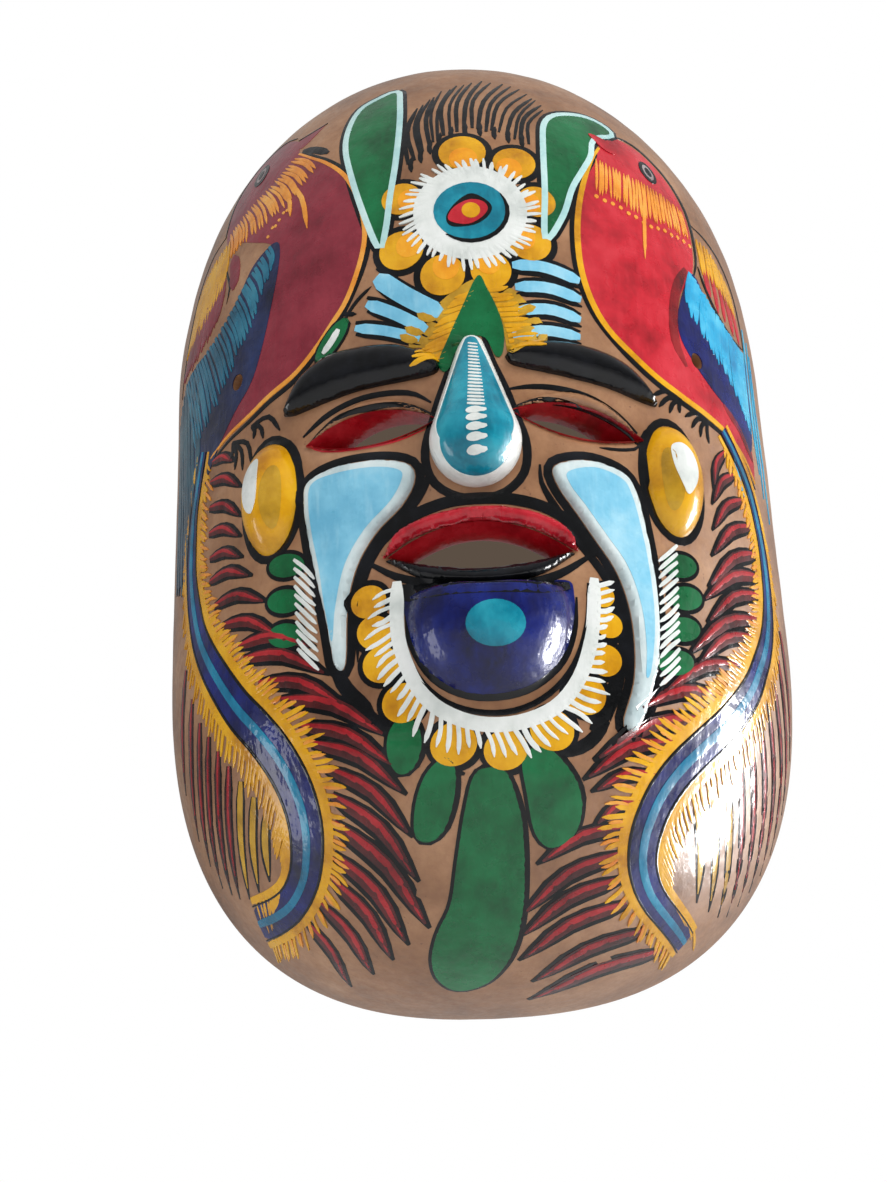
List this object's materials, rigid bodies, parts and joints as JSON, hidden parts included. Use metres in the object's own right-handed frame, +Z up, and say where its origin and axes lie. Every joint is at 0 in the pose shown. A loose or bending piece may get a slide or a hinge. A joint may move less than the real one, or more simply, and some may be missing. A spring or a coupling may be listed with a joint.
{
  "type": "folk art mask",
  "caption": "Painted terracotta wall mask with a curved hollow shell, raised nose, brows, lips, chin, cheek pads and ear bosses, open eyes and mouth, and holes to hang it by.",
  "frame": {"origin": "middle of the back rim's plane, at half the mask's height, on the line that halves the shell", "axes": "+Z up towards the forehead, +Y out of the back towards the wall, so the face looks along -Y, and +X to the viewer's right"},
  "size_m": [0.1894, 0.096, 0.3124],
  "materials": {
    "clay": "bare terracotta under clear lacquer, painted with enamel birds, flowers and feathers",
    "black_enamel": "glossy black enamel on clay",
    "turquoise_enamel": "glossy turquoise enamel on clay",
    "red_enamel": "glossy red enamel on clay",
    "blue_enamel": "glossy dark blue enamel on clay",
    "light_blue_enamel": "glossy light blue enamel with a pale edge on clay",
    "yellow_enamel": "glossy yellow enamel on clay"
  },
  "bodies": {
    "root": {"shell": "clay", "nose": "turquoise_enamel", "brow_left": "black_enamel", "brow_right": "black_enamel", "eyelid_left": "clay", "eyelid_right": "clay", "upper_lip": "red_enamel", "lower_lip": "black_enamel", "chin": "blue_enamel", "cheek_left": "light_blue_enamel", "cheek_right": "light_blue_enamel", "ear_left": "yellow_enamel", "ear_right": "yellow_enamel"}
  },
  "joints": []
}
